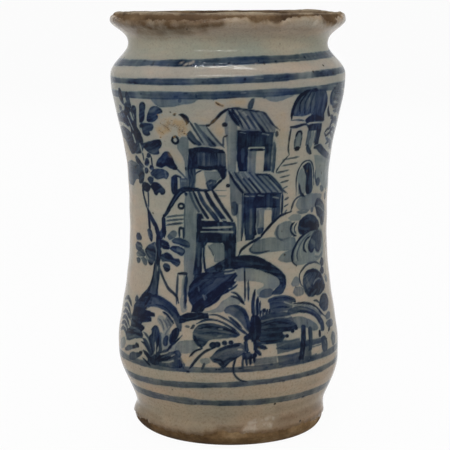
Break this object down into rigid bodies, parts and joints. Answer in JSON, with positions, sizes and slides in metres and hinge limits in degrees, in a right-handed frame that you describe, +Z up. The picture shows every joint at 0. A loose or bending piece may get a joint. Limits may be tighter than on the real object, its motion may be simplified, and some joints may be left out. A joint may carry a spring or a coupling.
{
  "type": "albarello",
  "caption": "Waisted, open-mouthed earthenware storage jar with a grooved neck for a tied cover, glazed and painted with blue lines and a landscape.",
  "frame": {"origin": "middle of the flat face that the jar stands on", "axes": "+Z up along the jar's axis; -Y towards the side seen in the picture"},
  "size_m": [0.1108, 0.1108, 0.2],
  "materials": {
    "bare_clay": "bare fired earthenware, worn and stained",
    "tin_glaze": "dull, glossy, pitted grey-white tin glaze",
    "inner_glaze": "glossy, stained grey-white glaze",
    "cobalt": "cobalt blue brush line under a glossy surface"
  },
  "bodies": {
    "root": {"clay_body": "bare_clay", "outer_glaze": "tin_glaze", "inner_glaze": "inner_glaze", "foot_line": "cobalt", "hip_line": "cobalt", "panel_bottom_line": "cobalt", "panel_top_line": "cobalt", "shoulder_line": "cobalt", "neck_line": "cobalt"}
  },
  "joints": []
}
